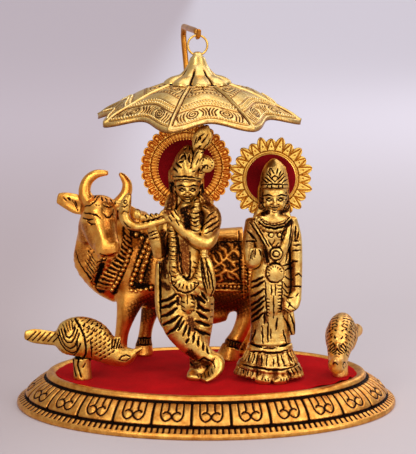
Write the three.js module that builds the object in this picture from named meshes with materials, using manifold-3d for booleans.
// Cast group of Krishna with his flute, Radha, a standing cow and two peacocks on an oval lotus base.
// An eight-sided umbrella hangs by a ring from a bent rod behind the cow.
// Millimetres, +Z up. The origin is the centre of the base's underside, and -Y faces the viewer.

import * as THREE from 'three';
import { mergeVertices } from 'three/addons/utils/BufferGeometryUtils.js';
import Module from 'manifold-3d';

const wasm = await Module();
wasm.setup();

// Driving dimensions
const BASE_HALF_LENGTH = 100;
const BASE_HALF_DEPTH = 64;
const BASE_PETALS = 24;
const DECK_Z = 16;
const FELT_THICKNESS = 0.6;
const FELT_INSET = 21;
const FEET_Z = DECK_Z + FELT_THICKNESS;
const CONTACT_GAP = 0.3;

const ROD_X = -7;
const ROD_Y = 42;
const ROD_RADIUS = 1.5;
const ROD_HOLE_RADIUS = 1.8;
const ROD_HOLE_Z = 6;

const UMBRELLA_X = -4.3;
const UMBRELLA_Y = -10;
const UMBRELLA_SIDES = 8;
const UMBRELLA_RADIUS = 52.2;
const UMBRELLA_TURN = -14.3;
const UMBRELLA_WALL = 1.5;
const RING_RADIUS = 4.9;
const RING_WIRE = 0.55;
const RING_Z = 188.1;

const KRISHNA_HALO = { x: -10.2, z: 124.8, front: 1, back: 3.2, petals: 32, tall: 23.6, short: 23.6 };
const KRISHNA_FELT_RADIUS = 15;
const RADHA_HALO = { x: 33.2, z: 119.6, front: -2, back: 0, petals: 24, tall: 21.8, short: 20.2 };
const RADHA_FELT_RADIUS = 12.9;
const HALO_FELT_THICKNESS = 0.5;
const BOSS_RADIUS = 4;

// `turn` is the heading from +X; `swing` and `droop` bend the tail to the bird's left and down
const PEACOCK_LEFT = { x: -64.2, y: -14, turn: 0, swing: 0, droop: 0 };
const PEACOCK_RIGHT = { x: 70.2, y: -8, turn: -101, swing: 0.38, droop: 0.3 };

// Materials
const metal = (color) => new THREE.MeshStandardMaterial({ color, roughness: 0.35, metalness: 1 });
const gold = () => metal(0xc9952f);
const deepGold = () => metal(0xb57a22);
const paleGold = () => metal(0xd9b04a);
const felt = () => new THREE.MeshStandardMaterial({ color: 0xa31119, roughness: 0.95, metalness: 0 });

// Closed meshes as solids, joined and cut
const v3 = (x, y, z) => new THREE.Vector3(x, y, z);
const X = v3(1, 0, 0);
const Y = v3(0, 1, 0);
const Z = v3(0, 0, 1);

function solid(geometry) {
  geometry.deleteAttribute('normal');
  geometry.deleteAttribute('uv');
  const merged = mergeVertices(geometry, 1e-4);
  const vertProperties = new Float32Array(merged.attributes.position.array);
  const triVerts = new Uint32Array(merged.index.array);
  return new wasm.Manifold(new wasm.Mesh({ numProp: 3, vertProperties, triVerts }));
}

const join = (...solids) => solids.flat().reduce((whole, next) => whole.add(next));

function piece(name, body, material) {
  const { vertProperties, triVerts } = body.getMesh();
  const geometry = new THREE.BufferGeometry();
  geometry.setAttribute('position', new THREE.BufferAttribute(new Float32Array(vertProperties), 3));
  geometry.setIndex(new THREE.BufferAttribute(new Uint32Array(triVerts), 1));
  geometry.computeVertexNormals();
  const mesh = new THREE.Mesh(geometry, material);
  mesh.name = name;
  return mesh;
}

// A closed skin through rings with the same number of points, with a pole at each end.
// The rings run round the direction of travel, so that the faces point outwards.
function skin(rings, firstPole, lastPole) {
  const columns = rings[0].length;
  const points = [...rings.flat(), firstPole, lastPole];
  const index = [];
  const at = (row, column) => row * columns + (column % columns);
  for (let row = 0; row + 1 < rings.length; row++) {
    for (let column = 0; column < columns; column++) {
      const [a, b] = [at(row, column), at(row, column + 1)];
      const [c, d] = [at(row + 1, column + 1), at(row + 1, column)];
      index.push(a, b, c, a, c, d);
    }
  }
  const first = points.length - 2;
  for (let column = 0; column < columns; column++) {
    index.push(first, at(0, column + 1), at(0, column));
    index.push(first + 1, at(rings.length - 1, column), at(rings.length - 1, column + 1));
  }
  const geometry = new THREE.BufferGeometry().setFromPoints(points);
  geometry.setIndex(index);
  return solid(geometry);
}

// A rounded limb through stations [x, y, z, half width, half depth].
// The width lies along `wide`, turned square to the path. The ends taper to a point, or are rounded.
function limb(stations, { sides = 6, wide = X, round = false } = {}) {
  const centres = stations.map(([x, y, z]) => v3(x, y, z));
  const rings = stations.map(([, , , width, depth], i) => {
    const before = centres[Math.max(i - 1, 0)];
    const after = centres[Math.min(i + 1, stations.length - 1)];
    const along = after.clone().sub(before).normalize();
    const a = wide.clone().addScaledVector(along, -wide.dot(along)).normalize();
    const b = along.clone().cross(a);
    return { centre: centres[i], along, a, b, width, depth };
  });
  const ring = ({ centre, along, a, b, width, depth }, scale, shift) => {
    const points = [];
    for (let k = 0; k < sides; k++) {
      const angle = (2 * Math.PI * k) / sides;
      points.push(centre.clone()
        .addScaledVector(a, Math.cos(angle) * width * scale)
        .addScaledVector(b, Math.sin(angle) * depth * scale)
        .addScaledVector(along, shift));
    }
    return points;
  };
  const [first, last] = [rings[0], rings.at(-1)];
  const [startBulge, endBulge] = [first, last].map(({ width, depth }) => Math.min(width, depth));
  const body = rings.map((r) => ring(r, 1, 0));
  if (round) {
    body.unshift(ring(first, 0.7, -0.7 * startBulge));
    body.push(ring(last, 0.7, 0.7 * endBulge));
  }
  const pole = ({ centre, along }, shift) => centre.clone().addScaledVector(along, shift);
  return skin(body, pole(first, -startBulge), pole(last, endBulge));
}

// A raised cord or fold of one radius through points [x, y, z]
const cord = (points, radius, options = {}) =>
  limb(points.map(([x, y, z]) => [x, y, z, radius, radius]), { sides: 3, ...options });

// A round boss along Y from `front` to `back`
const bossY = (x, z, radius, front, back, sides = 8) => {
  const geometry = new THREE.CylinderGeometry(radius, radius, back - front, sides);
  return solid(geometry.translate(x, (front + back) / 2, z));
};

const cylinderZ = (x, y, low, high, radius, sides) => {
  const geometry = new THREE.CylinderGeometry(radius, radius, high - low, sides).rotateX(Math.PI / 2);
  return solid(geometry.translate(x, y, (low + high) / 2));
};

// What lies under the felt's upper face is cut away, which leaves flat soles
const FLOOR_CUT = 60;
function standOn(body, z) {
  const below = new THREE.BoxGeometry(4 * BASE_HALF_LENGTH, 4 * BASE_HALF_DEPTH, FLOOR_CUT);
  return body.subtract(solid(below.translate(0, 0, z - FLOOR_CUT / 2)));
}

// Oval base: a ring of the outline at an inset, sampled at equal steps along the petal band
const BAND_INSET = 9.5;
const SAMPLES_PER_PETAL = 2;
const ovalPoint = (t, inset) => {
  const normal = v3(Math.cos(t) / BASE_HALF_LENGTH, Math.sin(t) / BASE_HALF_DEPTH, 0).normalize();
  return v3(BASE_HALF_LENGTH * Math.cos(t), BASE_HALF_DEPTH * Math.sin(t), 0).addScaledVector(normal, -inset);
};

function ovalAngles(count, firstAngle) {
  const fine = 4000;
  const lengths = [0];
  for (let i = 1; i <= fine; i++) {
    const from = ovalPoint(firstAngle + (2 * Math.PI * (i - 1)) / fine, BAND_INSET);
    const to = ovalPoint(firstAngle + (2 * Math.PI * i) / fine, BAND_INSET);
    lengths.push(lengths[i - 1] + from.distanceTo(to));
  }
  return Array.from({ length: count }, (_, k) => {
    const i = lengths.findIndex((length) => length >= (lengths[fine] * k) / count);
    return firstAngle + (2 * Math.PI * i) / fine;
  });
}

// Base profile from the underside up, as [inset, height, share of the petal relief]
const BASE_PROFILE = [
  [0, 0, 0], [0, 2.6, 0], [4, 4.8, 0], [5.4, 7.6, 1], [13.6, 13.8, 1],
  [15, 14.6, 0], [17.4, 17.4, 0], [20.6, DECK_Z, 0],
];
const BAND_LEAN = { out: 0.5, up: 0.85 };
const PETAL_GROOVE = 1;
const PETAL_SWELL = 0.45;
// The angle of a groove between two petals, in the middle of the front
const FIRST_GROOVE = -Math.PI / 2 + 0.129;

function ovalRing(angles, inset, z, relief) {
  return angles.map((t, k) => {
    const place = k % SAMPLES_PER_PETAL;
    const lift = place === 0 ? -PETAL_GROOVE : PETAL_SWELL;
    const out = relief * lift;
    return ovalPoint(t, inset - BAND_LEAN.out * out).setZ(z + BAND_LEAN.up * out);
  });
}

function ovalBase() {
  const angles = ovalAngles(BASE_PETALS * SAMPLES_PER_PETAL, FIRST_GROOVE);
  const rings = BASE_PROFILE.map(([inset, z, relief]) => ovalRing(angles, inset, z, relief));
  const body = skin(rings, v3(0, 0, 0), v3(0, 0, DECK_Z));
  return body.subtract(cylinderZ(ROD_X, ROD_Y, ROD_HOLE_Z, 2 * DECK_Z, ROD_HOLE_RADIUS, 16));
}

const FELT_STEPS = 40;

function feltTop() {
  const angles = ovalAngles(FELT_STEPS, FIRST_GROOVE);
  const ring = (z) => angles.map((t) => ovalPoint(t, FELT_INSET).setZ(z));
  const sheet = skin([ring(DECK_Z), ring(FEET_Z)], v3(0, 0, DECK_Z), v3(0, 0, FEET_Z));
  return sheet.subtract(cylinderZ(ROD_X, ROD_Y, 0, 2 * DECK_Z, ROD_HOLE_RADIUS + CONTACT_GAP, 16));
}

// Umbrella: eight panels that hang in a hollow curve between drooping ribs
const RIB_HEIGHTS = [
  [0, 172.6], [14, 169.6], [27, 164.9], [40, 158.8], [47, 155.4], [UMBRELLA_RADIUS, 151.6],
];
const SCALLOP = 0.83;
const RIM_RISE = 4;
const RIB_RAISE = 0.5;
const SAMPLES_PER_PANEL = 4;

function umbrellaHeight(r) {
  const i = Math.max(1, RIB_HEIGHTS.findIndex(([radius]) => radius >= r - 1e-9));
  const [r0, z0] = RIB_HEIGHTS[i - 1];
  const [r1, z1] = RIB_HEIGHTS[i];
  return z0 + ((z1 - z0) * (r - r0)) / (r1 - r0);
}

// The azimuth runs from the front towards +X
const umbrellaPoint = (azimuth, radius, z) =>
  v3(UMBRELLA_X + radius * Math.sin(azimuth), UMBRELLA_Y - radius * Math.cos(azimuth), z);

function umbrellaRing(r, drop) {
  const count = UMBRELLA_SIDES * SAMPLES_PER_PANEL;
  const share = r / UMBRELLA_RADIUS;
  return Array.from({ length: count }, (_, k) => {
    const between = Math.sin((Math.PI * (k % SAMPLES_PER_PANEL)) / SAMPLES_PER_PANEL);
    const azimuth = THREE.MathUtils.degToRad(UMBRELLA_TURN) + (2 * Math.PI * k) / count;
    const scallop = 1 - (1 - SCALLOP) * between * share;
    const raise = between === 0 ? RIB_RAISE : 0;
    const z = umbrellaHeight(r) + RIM_RISE * between * share ** 3 + raise - drop;
    return umbrellaPoint(azimuth, r * scallop, z);
  });
}

// The cap of eight drooping petals runs up into the finial, as [radius, height]
const CAP_PROFILE = [[15.2, 169.2], [12.3, 171.3], [6.8, 175], [4.2, 180], [3.2, 182.8], [1.8, 184.5]];
const CAP_TOP = 184.9;
const CAP_GROOVE = 0.9;
const HANGING_HOLE_RADIUS = 1.2;
const HANGING_HOLE_RISE = 0.15;

function capRing([radius, z]) {
  const count = UMBRELLA_SIDES * SAMPLES_PER_PANEL;
  return Array.from({ length: count }, (_, k) => {
    const azimuth = THREE.MathUtils.degToRad(UMBRELLA_TURN) + (2 * Math.PI * k) / count;
    const groove = k % SAMPLES_PER_PANEL === 0 ? CAP_GROOVE * Math.min(1, radius / 12) : 0;
    return umbrellaPoint(azimuth, radius - groove, z + groove);
  });
}

function umbrella() {
  const inner = [16, UMBRELLA_RADIUS].map((r) => umbrellaRing(r, UMBRELLA_WALL));
  const outer = [UMBRELLA_RADIUS, 47, 40, 27, 16].map((r) => umbrellaRing(r, 0));
  const cap = CAP_PROFILE.map(capRing);
  const low = v3(UMBRELLA_X, UMBRELLA_Y, umbrellaHeight(16) - UMBRELLA_WALL);
  const whole = skin([...inner, ...outer, ...cap], low, v3(UMBRELLA_X, UMBRELLA_Y, CAP_TOP));
  const hole = new THREE.CylinderGeometry(HANGING_HOLE_RADIUS, HANGING_HOLE_RADIUS, 20, 8).rotateZ(Math.PI / 2);
  const z = RING_Z - RING_RADIUS + HANGING_HOLE_RISE;
  return whole.subtract(solid(hole.translate(UMBRELLA_X, UMBRELLA_Y, z)));
}

function umbrellaHangingRing() {
  const torus = new THREE.TorusGeometry(RING_RADIUS, RING_WIRE, 4, 16).rotateX(Math.PI / 2);
  return solid(torus.translate(UMBRELLA_X, UMBRELLA_Y, RING_Z));
}

// Rod: up behind the cow, level over the umbrella, then a filed notch for the ring and a turned-up tip
function umbrellaRod() {
  const r = ROD_RADIUS;
  const thin = 0.75;
  // Underside of the wire at the ring's top, less the gap and the notch's own half height
  const notch = RING_Z + RING_RADIUS - RING_WIRE - CONTACT_GAP - thin;
  const stations = [
    [ROD_X, ROD_Y, ROD_HOLE_Z - 4, r, r], [ROD_X, ROD_Y, 30, r, r], [-8, ROD_Y, 90, r, r],
    [-10, ROD_Y, 160, r, r], [-12, ROD_Y, 189, r, r], [-12, 40.8, 193.4, r, r], [-11.8, 37.4, 195.2, r, r],
    [-8.5, 14, 195.2, r, r], [-5.2, -4, 195, r, r], [-4.3, -8, 192.9, 1.3, 1.1],
    [UMBRELLA_X, UMBRELLA_Y, notch, 1.2, thin], [-3.8, -12, 192.8, 1.3, 1], [-3.6, -13, 195.6, 1.2, 0.8],
  ];
  return standOn(limb(stations), ROD_HOLE_Z);
}

// Halo: a plate with an edge of petal tips, a raised crest and a flat seat for the felt
const HALO_NOTCH = 1.8;
const HALO_RIM_SETBACK = 0.3;
const HALO_CREST = 0.7;

function haloPlate({ x, z, front, back, petals, tall, short }, seatRadius) {
  const columns = 2 * petals;
  const tip = (k) => (k % 4 === 1 ? tall : short);
  const edge = (k) => (k % 2 ? tip(k) : short - HALO_NOTCH);
  const ring = (radiusAt, y) => Array.from({ length: columns }, (_, k) => {
    const angle = (2 * Math.PI * k) / columns;
    return v3(x + radiusAt(k) * Math.sin(angle), y, z + radiusAt(k) * Math.cos(angle));
  });
  const crest = (seatRadius + short) / 2;
  const rings = [
    ring(() => seatRadius, front), ring(() => crest, front - HALO_CREST),
    ring(edge, front + HALO_RIM_SETBACK), ring(edge, back),
  ];
  return skin(rings, v3(x, front, z), v3(x, back, z));
}

// A felt disc glued to the seat, with a hole for the boss that carries the halo
const FELT_EDGE_GAP = 0.1;

function haloFelt({ x, z, front }, radius) {
  const disc = bossY(x, z, radius - FELT_EDGE_GAP, front - HALO_FELT_THICKNESS, front, 20);
  return disc.subtract(bossY(x, z, BOSS_RADIUS + CONTACT_GAP, front - 2, front + 1));
}

// Krishna stands on one leg with the other crossed before it and plays the flute to his right
const folds = (lines, radius, options) => lines.map((line) => cord(line, radius, options));

function krishnaBody() {
  return [
    limb([
      [-9.8, -9, 106.5, 4, 4.2], [-9, -9.5, 103, 11.5, 5], [-9, -9.5, 98, 12.8, 6.5],
      [-10.6, -9.5, 86, 11.2, 7], [-11.2, -9.5, 76, 13.6, 8], [-11.2, -9.5, 66, 14.8, 9],
      [-11, -9.5, 55, 14.6, 9], [-10, -10, 46, 12.6, 8.5],
    ], { sides: 8 }),
    // Standing leg and its foot
    limb([[-4, -8, 57, 8, 7.5], [-3.6, -8.5, 44, 7.2, 7], [-3.6, -9, 33, 6, 6], [-4.2, -10, 20, 4.8, 5]]),
    limb([[-4, -6, 18.5, 3.6, 2.8], [-5.5, -14, 18.2, 4.2, 2.8], [-7, -18, 17.6, 3, 1.8]]),
    // Crossed leg, with its heel raised and its toes on the felt
    limb([
      [-14.5, -11, 58, 9.5, 8], [-14, -13, 47, 9.5, 7.5], [-9.2, -14.5, 38.5, 8, 6.5],
      [-3, -15.5, 31.8, 6, 5], [2.2, -16, 27, 4, 3.6],
    ]),
    limb([
      [4, -15, 29, 3, 3], [8, -16, 26, 3.4, 3.2], [6.5, -17.5, 20.5, 3.8, 3.4], [0, -18.5, 18, 3.4, 2.8],
    ], { wide: Y }),
  ];
}

function krishnaHead() {
  return [
    limb([
      [-9.8, -9.5, 105, 4, 4], [-9.8, -10.5, 109.4, 4.6, 4.8], [-9.6, -10.4, 113.5, 6.4, 6.8],
      [-9.6, -9.8, 118, 7, 7.4], [-9.8, -9.3, 124.5, 7.8, 7.6], [-9.6, -9, 129, 6.8, 6.4],
      [-9.2, -9, 133, 4.9, 5], [-8.8, -9, 136.6, 2.6, 2.8],
    ], { sides: 8 }),
    limb([[-9.6, -16.6, 116, 0.5, 0.6], [-9.6, -17.4, 112.6, 1, 1]], { sides: 4 }),
    // Hair falling to both shoulders
    limb([[-16.8, -7, 121, 3, 5], [-17.8, -7, 113, 3.2, 5], [-20.4, -7.5, 105, 4, 4.6]], { sides: 5 }),
    limb([[-2.6, -7, 121, 2.6, 5], [-1.6, -7, 113, 3, 5], [1.6, -7.5, 105, 4, 4.6]], { sides: 5 }),
    // Round ornament and the upright peacock feather at the side of the crown
    limb([[0.2, -8, 128.3, 4, 4], [0.2, -12, 128.3, 4, 4]]),
    limb([
      [-5.4, -9.5, 126, 2.8, 2.4], [-4.8, -10, 134, 2.8, 1.8], [-2.8, -10.5, 139.5, 4.7, 1.6],
      [-1.4, -10.8, 144, 4.6, 1.5], [0, -10.8, 146.6, 2, 1],
    ]),
    // Boss that carries the halo
    bossY(KRISHNA_HALO.x, KRISHNA_HALO.z, BOSS_RADIUS, -8, KRISHNA_HALO.front),
  ];
}

function krishnaArms() {
  return [
    // His left arm: shoulder, elbow, and the hand on the flute
    limb([
      [1.4, -8.5, 102.6, 4.6, 4.4], [2.6, -10, 96, 4.4, 4.6], [0.8, -13, 89.4, 4.6, 4.6], [-2.4, -15, 88.6, 4.2, 4],
      [-8.4, -17, 92.4, 3.4, 3.4], [-15, -18.2, 99, 2.8, 2.8], [-18.4, -18.6, 102.6, 3, 2.4],
    ], { wide: Y }),
    // His right arm: upper arm, elbow, forearm and the fingers laid over the flute
    limb([[-18.6, -9, 102.4, 4.6, 4.2], [-21.8, -9.6, 92, 4, 4.2], [-24.4, -11.4, 83.6, 3.6, 3.8]]),
    limb([[-24.6, -13, 82.4, 3.2, 3.6], [-25.8, -15.4, 89, 3.3, 3.4], [-27.2, -17, 96, 2.9, 2.8]]),
    limb([[-32, -19, 101.4, 1.6, 2.2], [-28.4, -19.2, 102.4, 2, 2.6], [-24, -19, 103.6, 1.8, 2.4]], { wide: Z }),
  ];
}

function krishnaFlute() {
  const y = -18.6;
  return [
    limb([
      [-15, y, 102.6, 1.9, 1.9], [-24, y, 100, 2, 2], [-33, y, 97.8, 2.2, 2.2], [-38, y, 98.4, 3, 2.6],
      [-41.2, y, 101.4, 3.4, 2.8], [-41.4, y, 105, 2.8, 2.6], [-40, y, 109.6, 3.4, 2.8], [-39.4, y, 112.6, 2.2, 2.2],
    ], { wide: Y, sides: 5 }),
    limb([[-41, y, 110, 2, 1.8], [-44.6, y, 109, 1, 0.9]], { wide: Y, sides: 6 }),
  ];
}

function krishnaDress() {
  return [
    // Garland, leaf-shaped sash end, tassel and the long sash at the left
    limb([
      [-17.3, -15, 95, 2.2, 1.8], [-16.8, -16, 82, 2.6, 1.8], [-16.6, -17.6, 72.5, 3.6, 2], [-13.4, -18.4, 66.5, 4, 2],
      [-9.3, -18.6, 64.8, 4.2, 2], [-5.2, -18.4, 66.8, 4, 2], [-2.4, -17.4, 73, 3, 2], [-1, -15.6, 84, 2.2, 1.8],
    ], { wide: Z, sides: 5 }),
    limb([[-1.6, -15, 83, 1, 1], [0, -16.4, 76, 3.4, 1.6], [1, -16.6, 68, 3.4, 1.6], [2.2, -16, 60.6, 1, 1]]),
    limb([[-9.3, -18, 62, 3.2, 1.8], [-9.3, -18.6, 57, 3.6, 1.8], [-9.3, -18.2, 52.6, 1.5, 1]]),
    limb([
      [-24.7, -10, 77, 1.8, 4], [-25, -10, 63, 1.8, 4], [-24.6, -10.5, 52, 1.8, 4], [-22.6, -11, 45, 1.2, 3],
    ], { sides: 5 }),
    // Shawl over the left shoulder
    ...folds([
      [[-2, -13.6, 104], [5.4, -11.8, 101.4]],
      [[-2, -16, 99], [6.2, -13.2, 98]],
    ], 0.9),
    // Folds of the waist cloth, up towards the middle on both sides
    ...folds([
      [[-23.4, -14.6, 57], [-19, -17.2, 59.4], [-15, -18.2, 62.4]],
      [[-22.8, -15, 50.8], [-18, -18, 53.2], [-14, -18.8, 57]],
      [[-21, -16, 44.6], [-16, -19.2, 47.6], [-12.4, -19, 51.8]],
      [[2.6, -13.6, 56], [-1.6, -16.6, 58.8], [-4.4, -17.8, 62.6]],
      [[2.4, -13.4, 48.6], [-2, -16, 51.4], [-5, -17.6, 55.6]],
    ], 1.1),
    // Folds down the crossed leg
    ...folds([
      [[-11, -19.4, 46.4], [-5, -20.4, 37.8], [2, -19, 29.6]],
    ], 1.1),
  ];
}

const krishna = () =>
  standOn(join(krishnaBody(), krishnaHead(), krishnaArms(), krishnaFlute(), krishnaDress()), FEET_Z);

// Radha stands upright with one palm raised and a long flared skirt
function radhaBody() {
  return [
    limb([
      [33.6, -13.5, 104, 4.2, 4.2], [33.2, -13.8, 100.4, 10.8, 5], [33.2, -14, 94, 11.4, 6.6],
      [33.4, -14, 86, 9.6, 6.6], [33.2, -14, 79, 9.4, 6.6], [33, -14, 70, 11, 7.8], [32.6, -14, 60, 10.8, 8],
      [32.6, -14, 47, 10, 7.6], [33, -14, 38, 10.4, 7.8], [33, -14, 33.4, 12.6, 9.2], [33, -14, 31, 12.4, 8.6],
      [33, -14, 24.6, 16, 10.2], [32.6, -14, 21, 17.4, 10.4],
    ], { sides: 8 }),
    // Both feet under the hem
    limb([[29.6, -14, 19, 4.2, 3.4], [29.2, -25, 18.4, 4.2, 2.6]]),
    limb([[37, -14, 19, 4.2, 3.4], [38.6, -25, 18.4, 4.2, 2.6]]),
  ];
}

function radhaHead() {
  return [
    limb([
      [34, -13.6, 101, 4.2, 4.2], [34.2, -14.6, 106.6, 4.6, 4.8], [34.3, -14.6, 110.5, 6.4, 6.8],
      [34.3, -14.2, 115, 7.2, 7.4], [34.3, -13.8, 119.5, 7.6, 7.6], [34.3, -13.6, 124, 6.6, 6.6],
      [34.2, -13.5, 127.6, 4.4, 4.6],
    ], { sides: 8 }),
    limb([[34.3, -21, 113, 0.5, 0.6], [34.3, -21.8, 109.8, 1, 1]], { sides: 4 }),
    // Wide necklace, and the boss that carries the halo
    cord([
      [25, -16.4, 101], [29, -19.6, 97.6], [34, -20.8, 96.4], [39, -19.6, 97.6], [42.6, -16.4, 101],
    ], 1.2, { wide: Z }),
    bossY(RADHA_HALO.x, RADHA_HALO.z, BOSS_RADIUS, -13, RADHA_HALO.front),
  ];
}

function radhaArms() {
  return [
    limb([
      [43.6, -13, 99, 4, 4.2], [45.4, -13.4, 90, 3.6, 4], [46, -14, 78, 3.2, 3.8], [45.8, -15.4, 64, 3, 3.4],
      [44, -17.4, 57, 4, 3],
    ]),
    limb([[42.6, -16, 54, 1.8, 1.6], [43.6, -16, 46, 2, 1.4], [44, -16, 39.6, 1.6, 1]], { sides: 5 }),
    limb([[23, -13, 98.6, 4, 4.2], [22, -13.4, 88, 3.4, 3.8], [22.4, -15, 79, 3.2, 3.4]]),
    limb([[22.8, -16.6, 78.4, 3, 3], [24, -20, 80.4, 3.6, 2.2], [25, -21.4, 85.2, 3.4, 1.8]]),
  ];
}

function radhaDress() {
  return [
    // Crossed sashes over the chest
    ...folds([
      [[24.4, -17.6, 98], [30, -20.4, 90], [35, -20.6, 83]],
      [[43, -17, 98], [39.4, -20, 90], [35.6, -20.6, 83]],
    ], 1.1),
    // Two round ornaments and the pointed panel below them
    limb([[35.2, -18, 83.6, 3.2, 3.2], [35.2, -20.6, 83.6, 3.2, 3.2]]),
    limb([[34.6, -18, 73.6, 4.6, 4.6], [34.6, -21.6, 73.6, 4.6, 4.6]]),
    limb([[34.2, -20, 68, 4.6, 2], [34, -20.6, 60, 4.6, 2], [34, -20.4, 52.4, 2.6, 1.6]]),
    // Folds of the cloth over both thighs
    ...folds([
      [[23.2, -17.8, 62], [26.8, -20.6, 65], [29.6, -21.2, 69]],
      [[22.8, -17.4, 54.6], [26.4, -20.6, 58], [29.2, -21.8, 62.4]],
      [[23.2, -17.2, 47], [26.6, -20.2, 50.6], [29.4, -21.2, 55.4]],
      [[42, -18.2, 58], [38.8, -21, 63]],
    ], 1),
    // Pleats from the knees to the hem
    ...folds([
      [[27.8, -20.6, 46], [27, -22, 36], [24, -23, 24]],
      [[33.4, -21.4, 46], [33.2, -22.6, 36], [33, -24.4, 23.4]],
      [[38.6, -20.6, 46], [39.4, -22, 36], [42, -23, 24]],
    ], 0.9),
  ];
}

const radha = () => standOn(join(radhaBody(), radhaHead(), radhaArms(), radhaDress()), FEET_Z);

// The cow stands side-on behind the pair, with its head turned to the viewer
function cowBody() {
  return [
    limb([
      [34, 27, 66, 9, 14], [28, 27, 65, 11.8, 20], [16, 27, 64, 12.4, 22.4], [0, 27, 64, 12.4, 22.6],
      [-18, 27, 66, 12.4, 22.6], [-36, 27, 69, 12.4, 23.4], [-49, 25.6, 73, 11.4, 22.6], [-57.6, 23.4, 77, 8.6, 17],
      [-62, 21.4, 81, 6, 11],
    ], { sides: 10, wide: Y }),
    // Dewlap down the chest
    limb([[-61, 18, 90, 4, 6], [-65, 20.4, 78, 4, 5], [-64, 22, 68, 4.2, 5], [-57, 24.4, 57.6, 4.6, 4]], { wide: Y }),
    // Neck up to the poll
    limb([[-48, 25, 84, 11, 11], [-54, 20, 92, 9.6, 10], [-57, 15.6, 99, 8.4, 8]]),
  ];
}

function cowHead() {
  return [
    limb([
      [-55.4, 15, 103, 7.4, 5.4], [-55.8, 12.4, 99, 9, 8.6], [-55, 8.6, 92.4, 8.4, 8], [-52.6, 4.6, 86, 5.8, 6],
      [-50.8, 2, 81.6, 5.8, 5],
    ], { sides: 8 }),
    // Ears, then horns
    limb([[-63.4, 14, 101, 2, 3], [-70, 16, 103, 1.8, 5], [-77, 18, 105.4, 1, 2]], { wide: Y }),
    limb([[-47.6, 15, 99.4, 2, 3], [-42, 17, 98.6, 1.8, 4.2], [-37.6, 19, 98, 1, 2.6]], { wide: Y }),
    limb([
      [-60.6, 14, 103, 3.6, 3.6], [-64, 14.4, 109, 3.2, 3.2], [-62.6, 15, 115.4, 2.8, 2.8],
      [-58, 15, 119.2, 2.3, 2.3], [-52.6, 14, 119.8, 1.5, 1.5],
    ], { wide: Y, round: true }),
    limb([
      [-47, 14, 103, 3.4, 3.4], [-42.6, 14.4, 108.4, 3, 3], [-41.6, 15, 113.6, 2.5, 2.5],
      [-43.4, 15, 117.4, 1.9, 1.9], [-45, 14.4, 119, 1.2, 1.2],
    ], { wide: Y, round: true }),
    // Lower lip
    limb([[-51, 4.6, 79, 4.6, 2.6], [-50.8, 1.2, 78.6, 4.2, 2.2]]),
  ];
}

function cowLegs() {
  const foreLeg = (x, y) => limb([
    [x + 6, y + 1, 56, 9, 5.4], [x + 2.6, y, 44, 6, 4.6], [x - 0.4, y, 32, 3.8, 3.8], [x - 1, y, 25, 3.9, 3.9],
    [x - 1.4, y - 0.6, 20.4, 4.8, 4.6], [x - 1.6, y - 0.8, 15, 5.2, 5],
  ]);
  const hindLeg = (x, y) => limb([
    [x + 6, y, 58, 10, 5.6], [x + 6, y, 48, 7.4, 5], [x + 3.6, y, 38, 5, 4.4], [x, y, 29.6, 4.8, 4.2],
    [x - 4, y - 0.4, 23.6, 5.6, 4.8], [x - 5.4, y - 0.8, 15, 6.6, 5.2],
  ]);
  return [foreLeg(-45.6, 19.6), foreLeg(-33, 33), hindLeg(17, 23), hindLeg(28, 33)];
}

function cowTrappings() {
  return [
    // Saddle cloth over the back, with a ribbed border
    limb([[-4, 27, 70, 13.2, 18.2], [8, 27, 69.4, 13.6, 19], [21, 27, 69.6, 13.2, 19]], { sides: 8, wide: Y }),
    cord([[21.6, 18, 82.6], [22.4, 14, 70], [21.8, 18, 56.4]], 1.4),
    cord([[-3.4, 17.4, 57], [9, 16.8, 55.6], [21.8, 17.4, 56]], 1.4, { wide: Z }),
    // Ribbed collar and the double bead harness
    cord([[-60, 17.4, 62], [-54, 14.4, 72], [-48, 13.4, 83]], 2.4),
    cord([[-45.4, 13, 66], [-40.4, 13.4, 78], [-39, 14.4, 88]], 1.8),
    cord([[-41.4, 13, 62.6], [-36.4, 13.6, 76], [-35.6, 14.6, 88]], 1.5),
    // Tail down the back of the rump
    limb([
      [38, 27, 76, 2.6, 2.6], [41.6, 27, 66, 1.8, 1.8], [41.6, 27, 50, 1.6, 1.6], [40.6, 27, 40, 2.6, 2.4],
    ], { sides: 5 }),
  ];
}

const cow = () => standOn(join(cowBody(), cowHead(), cowLegs(), cowTrappings()), FEET_Z);

// A peacock bent down to peck, facing +X, over the middle of its leg block
const TAIL_ROOT = -8.6;

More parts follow.
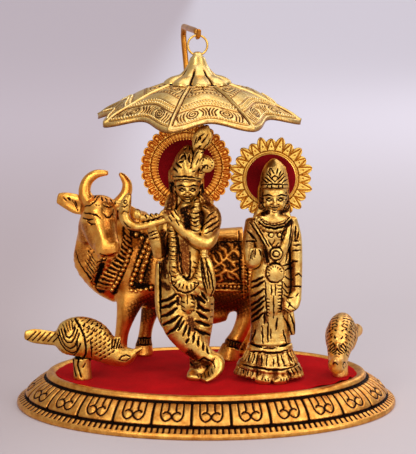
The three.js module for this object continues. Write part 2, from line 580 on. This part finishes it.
function peacock({ x, y, turn, swing, droop }) {
  // The tail leaves the body at TAIL_ROOT and runs back along -X
  const tail = (along, z, width, height) => {
    const reach = TAIL_ROOT - along;
    return [along, swing * reach, z - droop * reach, width, height];
  };
  const sole = -3;
  const body = limb([
    tail(-28, 23.2, 2.4, 3), tail(-25, 22.8, 3, 3.8), tail(-17, 21.8, 3.2, 3.8), tail(-12, 21.2, 4, 4.8),
    [TAIL_ROOT, 0, 21.4, 6.6, 9], [-2, 0, 22.4, 7.8, 10.8], [5, 0, 20.6, 7.6, 10.6], [11, 0, 16.6, 6.2, 8.2],
    [16.6, 0, 13, 5, 6], [22, 0, 12.2, 4.6, 5], [26, 0, 13.2, 3.4, 3.8], [31, 0, 15.8, 1, 1],
  ], { sides: 8, wide: Y });
  const legs = limb([[-0.4, 0, 12, 5, 4.2], [0, 0, 6, 4.8, 3.8], [0.2, 0, sole, 5, 4.4]]);
  const crest = limb([[18, 0, 17, 2, 1.4], [17, 0, 20, 3, 1.6], [16.4, 0, 22.4, 3.4, 1.2]], { sides: 4 });
  const geometrySpace = new THREE.Matrix4()
    .makeRotationZ(THREE.MathUtils.degToRad(turn))
    .setPosition(x, y, FEET_Z);
  const whole = join(body, legs, crest).transform(geometrySpace.elements);
  return standOn(whole, FEET_Z);
}

const group = new THREE.Group();
group.add(
  piece('oval_base', ovalBase(), gold()),
  piece('felt_top', feltTop(), felt()),
  piece('umbrella_rod', umbrellaRod(), deepGold()),
  piece('umbrella_ring', umbrellaHangingRing(), paleGold()),
  piece('umbrella', umbrella(), paleGold()),
  piece('halo_krishna', haloPlate(KRISHNA_HALO, KRISHNA_FELT_RADIUS), deepGold()),
  piece('halo_krishna_felt', haloFelt(KRISHNA_HALO, KRISHNA_FELT_RADIUS), felt()),
  piece('halo_radha', haloPlate(RADHA_HALO, RADHA_FELT_RADIUS), gold()),
  piece('halo_radha_felt', haloFelt(RADHA_HALO, RADHA_FELT_RADIUS), felt()),
  piece('krishna', krishna(), gold()),
  piece('radha', radha(), gold()),
  piece('cow', cow(), deepGold()),
  piece('peacock_left', peacock(PEACOCK_LEFT), gold()),
  piece('peacock_right', peacock(PEACOCK_RIGHT), gold()),
);

export default group;
